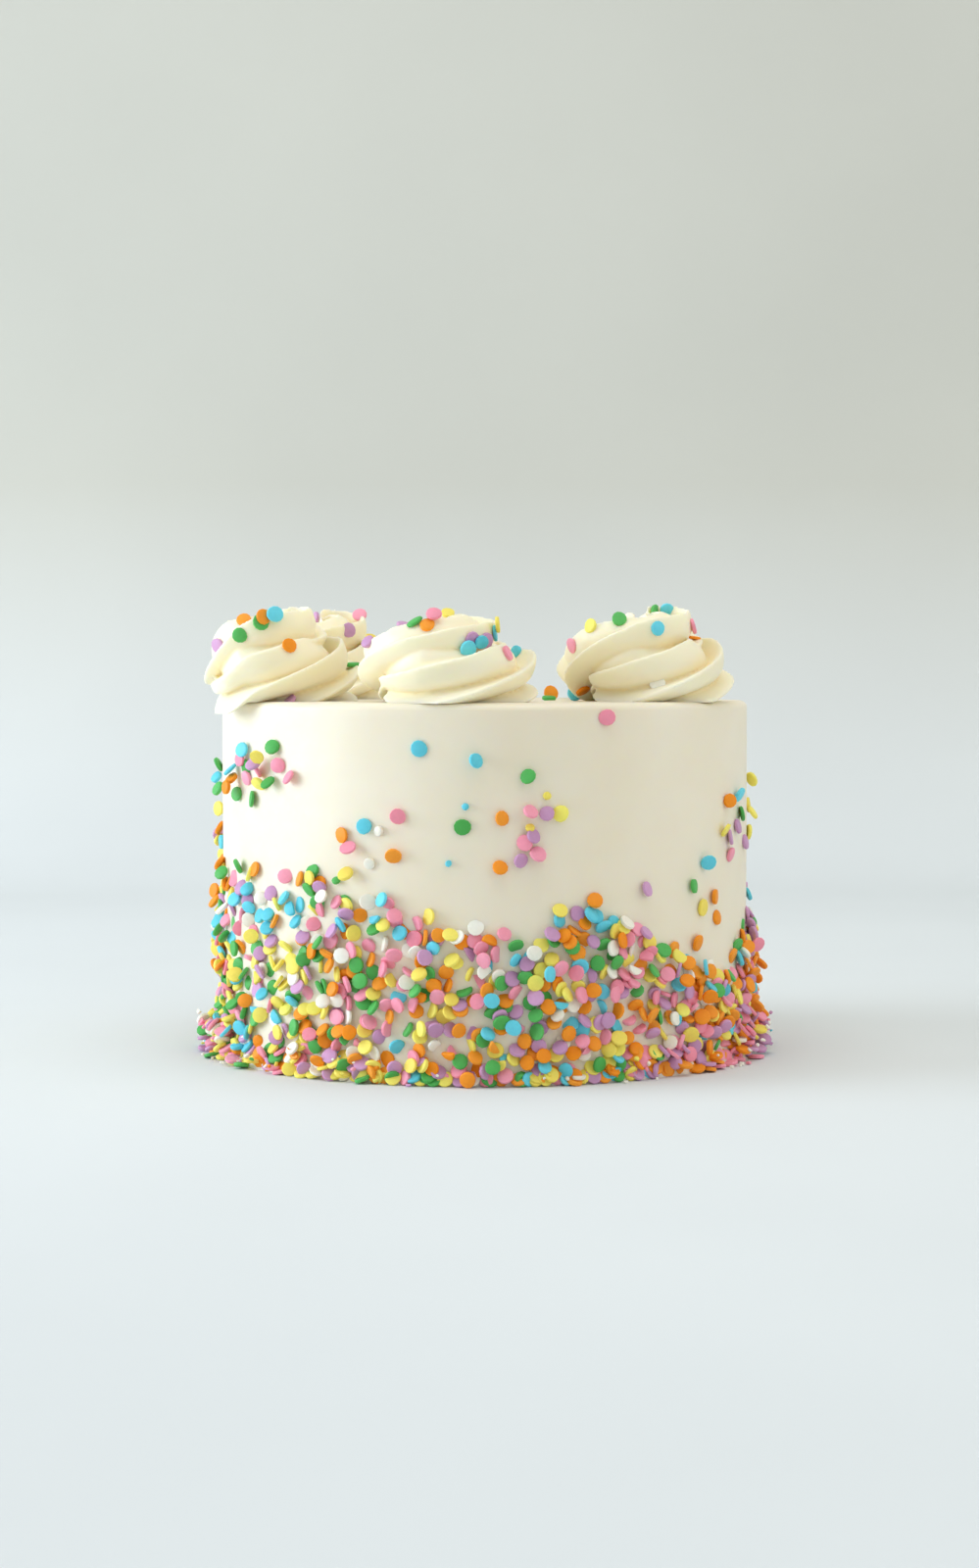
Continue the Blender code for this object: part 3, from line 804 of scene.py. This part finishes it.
def lay_on_side(sprinkles, wall, degrees, height, colour, lean, press, size=1.0, broken=0.0):
    """A disc more or less flat against the side, on whatever lies there already, facing up more than down."""
    radius, thickness = sprinkles.any_size()
    radius *= size
    aside = sprinkles.rng.normal(0, lean)
    slope = (aside, sprinkles.rng.normal(-FACING_UP * lean, LEANING_UP * lean))
    s = math.radians(degrees % 360) * CAKE_RADIUS
    middle, across, up = wall.settle(s, height, radius, thickness, slope, FOLLOW, press)
    out = around(degrees, 1, 0)
    tangent = Vector((-out.y, out.x, 0))
    normal = out - tangent * across - Vector((0, 0, up))
    place = around(degrees, CAKE_RADIUS + middle, height)
    sprinkles.add(colour, place, normal, radius, thickness, SIDE_CLEARANCE, broken)


def stand_on_side(sprinkles, wall, degrees, height, colour):
    """A disc stuck edge first into the icing. Its place is marked as taken for the flat ones."""
    rng = sprinkles.rng
    radius, thickness = sprinkles.any_size()
    steep = math.radians(rng.uniform(*STANDING_STEEP))
    way = rng.uniform(0, 2 * math.pi)
    s = math.radians(degrees % 360) * CAKE_RADIUS
    rows, columns, u, v = wall.cells(s, height, radius)
    near = np.abs(u * math.cos(way) + v * math.sin(way)) < radius * math.cos(steep) + 0.3 * thickness
    along = np.abs(v * math.cos(way) - u * math.sin(way)) < 0.7 * radius
    if wall.taken[rows, columns].any():
        return
    wall.taken[rows[near & along], columns[near & along]] = True
    out = around(degrees, 1, 0)
    tangent = Vector((-out.y, out.x, 0))
    aside = tangent * math.cos(way) + Vector((0, 0, 1)) * math.sin(way)
    normal = out * math.cos(steep) + aside * math.sin(steep)
    out_by = radius * math.sin(steep) * rng.uniform(*STANDING_OUT)
    place = around(degrees, CAKE_RADIUS + out_by, height)
    sprinkles.add(colour, place, normal, radius, thickness, SIDE_CLEARANCE)


def scatter_side(sprinkles, wall, camera):
    """The loose sprinkles above the band: those that the photograph shows, and like ones round the back."""
    rng = sprinkles.rng
    for colour, spots in SIDE_SPRINKLES.items():
        for x, y, *size in spots:
            degrees, height = side_at_pixel(camera, x, y)
            degrees += rng.uniform(0, EDGE_ON_STRAY) * math.copysign(abs(degrees) > EDGE_ON, degrees)
            lay_on_side(sprinkles, wall, degrees, height, colour, LOOSE_LEAN, LOOSE_PRESS, *size)
    for degrees, height, across, up, count in HIDDEN_CLUSTERS:
        for _ in range(count):
            a = degrees + math.degrees(rng.normal(0, 0.5) * across * MM / CAKE_RADIUS)
            z = (height + rng.normal(0, 0.5) * up) * MM
            lay_on_side(sprinkles, wall, a, z, sprinkles.any_colour(), LOOSE_LEAN, LOOSE_PRESS)
    for _ in range(HIDDEN_SINGLES):
        degrees = rng.uniform(*HIDDEN_SIDE)
        above = rng.exponential(HIDDEN_ABOVE) * MM + 2 * MM
        height = min(band_edge(degrees)[0] + above, CAKE_HEIGHT - HIDDEN_BELOW_TOP)
        lay_on_side(sprinkles, wall, degrees, height, sprinkles.any_colour(), LOOSE_LEAN, LOOSE_PRESS)


def fill_band(sprinkles, wall):
    """The dense band, pressed into the soft side: each disc rests on those before it."""
    rng = sprinkles.rng
    wall.height -= BAND_SUNK
    top = max(height for _, height, _ in BAND_EDGE) * MM
    bare = np.zeros(wall.taken.shape, bool)
    for _ in range(BARE_SPOTS):
        s = rng.uniform(0, 2 * math.pi) * CAKE_RADIUS
        rows, columns, _, _ = wall.cells(s, rng.uniform(0, top), rng.uniform(*BARE_WIDTH) / 2 * MM)
        bare[rows, columns] = True
    for _ in range(BAND_STANDING):
        degrees = rng.uniform(-180, 180)
        edge, fade = band_edge(degrees)
        height = rng.uniform(STANDING_INSIDE, edge - STANDING_INSIDE)
        if rng.random() < full_share(edge - height, fade):
            stand_on_side(sprinkles, wall, degrees, height, sprinkles.any_colour(degrees))
    placed = 0
    while placed < BAND_COUNT:
        degrees = rng.uniform(-180, 180)
        height = rng.uniform(1.5 * MM, top + 2 * MM)
        edge, fade = band_edge(degrees)
        below = edge - height + rng.normal(0, BAND_EDGE_STRAY) * MM
        if below < 0 or rng.random() > full_share(below, fade):
            continue
        s = math.radians(degrees % 360) * CAKE_RADIUS
        rows, columns, _, _ = wall.cells(s, height, SPRINKLE_RADIUS * 0.7)
        if wall.taken[rows, columns].any():
            continue
        if bare[rows, columns].any() and rng.random() > BARE_SHARE:
            continue
        under = wall.height[rows, columns]
        thickest = BAND_THICKEST - rng.uniform(0, BAND_THINNER)
        if under.mean() > thickest or under.max() > BAND_HIGHEST:
            continue
        colour = sprinkles.any_colour(degrees)
        lay_on_side(sprinkles, wall, degrees, height, colour, BAND_LEAN, BAND_PRESS, 1.0, BROKEN)
        placed += 1


def line_foot(sprinkles):
    """The ring of sprinkles that stand on the base and lean back against the side."""
    rng = sprinkles.rng
    for index in range(FOOT_COUNT):
        degrees = 360 * (index + rng.uniform(-FOOT_STRAY, FOOT_STRAY)) / FOOT_COUNT
        radius, thickness = sprinkles.any_size()
        steep = math.radians(rng.uniform(*FOOT_STEEP))
        out = around(degrees, 1, 0)
        tangent = Vector((-out.y, out.x, 0)) * rng.normal(0, FOOT_ASIDE)
        normal = out * math.sin(steep) + Vector((0, 0, math.cos(steep))) + tangent
        out_by = rng.uniform(*FOOT_OUT) * MM + radius * math.cos(steep) / 2
        place = around(degrees, CAKE_RADIUS + out_by, 0)
        colour = sprinkles.any_colour(degrees)
        sprinkles.add(colour, place, normal, radius, thickness, FLOOR_CLEARANCE, BROKEN)


def fill_skirt(sprinkles):
    """The sprinkles that fell to the foot: the inner ones lean on the side, the outer ones lie flat."""
    rng = sprinkles.rng
    floor = Field(-FLOOR_REACH, -FLOOR_REACH, 2 * FLOOR_REACH, 2 * FLOOR_REACH, False)
    placed = 0
    while placed < SKIRT_COUNT:
        degrees = rng.uniform(-180, 180)
        spread = float(pile_spread(degrees))
        if rng.random() > (spread - SKIRT_FROM_SPREAD) / (PILE_SPREAD_SIDE - SKIRT_FROM_SPREAD):
            continue
        radius, thickness = sprinkles.any_size()
        out_by = SKIRT_START + spread * SKIRT_REACH * rng.random() ** SKIRT_CROWDING
        lean = math.acos(min(1.0, out_by / radius)) if out_by < radius else 0.0
        lean = min(lean, math.radians(SKIRT_STEEPEST))
        out = around(degrees, 1, 0)
        place = out * (CAKE_RADIUS + out_by)
        slope = -math.tan(lean) + rng.normal(0, SKIRT_LEANS[0])
        across = rng.normal(0, SKIRT_LEANS[1])
        slopes = (slope * out.x - across * out.y, slope * out.y + across * out.x)
        middle, a, b = floor.settle(place.x, place.y, radius, thickness, slopes, SKIRT_FOLLOW, 0)
        normal = (-a, -b, 1)
        spot = (place.x, place.y, middle)
        colour = sprinkles.any_colour(degrees)
        sprinkles.add(colour, spot, normal, radius, thickness, FLOOR_CLEARANCE, BROKEN)
        placed += 1
    for _ in range(CRUMB_COUNT):
        degrees = rng.uniform(-180, 180)
        beyond = rng.uniform(*CRUMB_BEYOND) * MM
        place = around(degrees, CAKE_RADIUS + float(pile_spread(degrees)) + beyond, 0)
        colour = "white" if rng.random() < 0.5 else sprinkles.any_colour()
        radius = SPRINKLE_RADIUS * rng.uniform(*CRUMB_SIZE)
        thickness = SPRINKLE_THICKNESS * rng.uniform(*CRUMB_THICKNESS)
        slopes = rng.normal(0, CRUMB_LEAN, 2)
        middle, a, b = floor.settle(place.x, place.y, radius, thickness, slopes, SKIRT_FOLLOW, 0)
        spot = (place.x, place.y, middle)
        sprinkles.add(colour, spot, (-a, -b, 1), radius, thickness, FLOOR_CLEARANCE, 1.0)


def dress_top(sprinkles):
    """The few sprinkles that fell on the flat top between the rosettes."""
    for colour, x, y, lean in TOP_SPRINKLES:
        radius, thickness = sprinkles.any_size()
        steep = math.radians(lean)
        normal = (TOP_ASIDE * math.sin(steep), -math.sin(steep), math.cos(steep))
        rest = radius * math.sin(steep) * 0.9
        place = (x * MM, y * MM, CAKE_HEIGHT + rest)
        sprinkles.add(colour, place, normal, radius, thickness, CAKE_HEIGHT - TOP_SUNK)


def lay_on_surface(sprinkles, colour, place, normal, lean):
    """A disc on the icing at this place, pressed in a little, or on top of the discs that it would cross."""
    rng = sprinkles.rng
    radius, thickness = sprinkles.any_size()
    tilt = Vector(rng.normal(0, lean, 3))
    facing = (normal + tilt).normalized()
    spot = place + normal * (thickness * 0.3)
    for other, other_facing in sprinkles.on_rosettes:
        if (other - place).length < CROSSING * radius:
            facing = other_facing
            spot = place + facing * (facing.dot(other - place) + 1.05 * thickness)
    sprinkles.on_rosettes.append((spot, facing))
    sprinkles.add(colour, spot, facing, radius, thickness)


def seen_hit(trees, origin, ray):
    """The first hit of this ray on any of the rosettes."""
    hits = [tree.ray_cast(origin, ray) for tree in trees]
    hits = [hit for hit in hits if hit[0] is not None]
    return min(hits, key=lambda hit: hit[3]) if hits else None


def dress_rosettes(sprinkles, camera, rosettes):
    """The sprinkles on the rosettes: those that the photograph shows, and like ones on the hidden ones."""
    trees = {}
    graph = bpy.context.evaluated_depsgraph_get()
    for node, piece in rosettes.items():
        trees[node] = BVHTree.FromObject(piece, graph)
    for colour, spots in ROSETTE_SPRINKLES.items():
        for x, y in spots:
            for drop in PIXELS_BELOW:
                origin, ray = camera_ray(camera, x, y + drop)
                hit = seen_hit(trees.values(), origin, ray)
                if hit:
                    lay_on_surface(sprinkles, colour, hit[0], hit[1], ROSETTE_LEAN)
                    break
    for node, degrees, distance, *_ in HIDDEN_ROSETTES:
        centre = around(degrees, distance * MM, CAKE_HEIGHT + LOOK_DOWN_FROM)
        for _ in range(HIDDEN_ROSETTE_SPRINKLES):
            a = sprinkles.rng.uniform(0, 2 * math.pi)
            reach = HIDDEN_ROSETTE_REACH * math.sqrt(sprinkles.rng.random())
            origin = centre + Vector((math.cos(a), math.sin(a), 0)) * reach
            place, normal, _, _ = trees[node].ray_cast(origin, Vector((0, 0, -1)))
            if place is not None:
                lay_on_surface(sprinkles, sprinkles.any_colour(), place, normal, ROSETTE_LEAN)


# The studio


def make_camera():
    data = bpy.data.cameras.new("camera")
    data.lens = LENS_MM
    data.sensor_width = SENSOR_MM
    camera = bpy.data.objects.new("camera", data)
    bpy.context.scene.collection.objects.link(camera)
    camera.location = CAMERA_PLACE
    aim = Vector(CAMERA_AIM) - Vector(CAMERA_PLACE)
    camera.rotation_euler = aim.to_track_quat("-Z", "Y").to_euler()
    bpy.context.scene.camera = camera
    bpy.context.view_layer.update()
    return camera


def add_light(name, place, size, power, colour):
    data = bpy.data.lights.new(name, "AREA")
    data.shape = "DISK"
    data.size = size
    data.energy = power
    data.color = colour
    light = bpy.data.objects.new(name, data)
    bpy.context.scene.collection.objects.link(light)
    light.location = place
    light.rotation_euler = (Vector(LIGHT_AIM) - Vector(place)).to_track_quat("-Z", "Y").to_euler()


def make_studio():
    """A pale floor that sweeps up into a pale backdrop, and soft light that comes mostly from the left."""
    bend = SWEEP_BEND
    flat = SWEEP_BACK - bend
    profile = [(SWEEP_FRONT, 0.0), (flat, 0.0)]
    for a in np.linspace(0, math.pi / 2, 25):
        profile.append((flat + bend * math.sin(a), bend * (1 - math.cos(a))))
    profile.append((SWEEP_BACK, SWEEP_TOP))
    points = [(x, y, z) for y, z in profile for x in (-SWEEP_HALF_WIDTH, SWEEP_HALF_WIDTH)]
    sweep = make_object("backdrop", make_mesh("backdrop", points, grid_faces(len(profile), 2, False)))
    material, tree, shader = new_material("backdrop_paper")
    paper = add_ramp(tree, add_noise(tree, 3, 3), 0.3, 0.7, (0.94, 0.94, 0.94), (1, 1, 1))
    where = tree.nodes.new("ShaderNodeTexCoord")
    split = tree.nodes.new("ShaderNodeSeparateXYZ")
    link(tree, where.outputs["Object"], split.inputs["Vector"])
    height = add_ramp(tree, split.outputs["Z"], 0.0, WALL_FROM, FLOOR_COLOUR, WALL_COLOUR)
    link(tree, add_mix(tree, "MULTIPLY", 1.0, height, paper), shader.inputs["Base Color"])
    shader.inputs["Roughness"].default_value = 0.9
    shader.inputs["Specular IOR Level"].default_value = 0.15
    sweep.data.materials.append(material)
    sweep.data.shade_smooth()
    for name, (place, size, power, colour) in LIGHTS.items():
        add_light(name, place, size, power, colour)
    world = bpy.data.worlds.new("room")
    world.use_nodes = True
    world.node_tree.nodes["Background"].inputs["Color"].default_value = (*ROOM_COLOUR, 1)
    world.node_tree.nodes["Background"].inputs["Strength"].default_value = ROOM_STRENGTH
    bpy.context.scene.world = world
    bpy.context.scene.view_settings.view_transform = "Standard"


def main():
    camera = make_camera()
    make_studio()
    scraped = icing_material("smooth_icing", ICING, ICING_PALE, glow_mm=2.5, wave_mm=9, wave_strength=0.12)
    # The rosettes' icing has paler colours than the side's, as painted light
    piped = icing_material("piped_icing_painted_lighter", PIPED_PAINTED_LIGHTER, PIPED_PALE_PAINTED_LIGHTER, glow_mm=3.5, wave_mm=4, wave_strength=0.10)
    make_frosting(scraped)
    rosettes = {}
    for node, degrees, distance, start, twist, across, up in ROSETTES:
        centre = around(degrees, distance * MM, CAKE_HEIGHT - ROSETTE_SUNK)
        rosettes[node] = make_rosette(node, centre, start, twist, across, up, piped)
    sprinkles = Sprinkles(np.random.default_rng(SEED))
    wall = Field(0, 0, 2 * math.pi * CAKE_RADIUS, CAKE_HEIGHT, True)
    scatter_side(sprinkles, wall, camera)
    fill_band(sprinkles, wall)
    line_foot(sprinkles)
    fill_skirt(sprinkles)
    dress_top(sprinkles)
    dress_rosettes(sprinkles, camera, rosettes)
    sprinkles.make()


main()
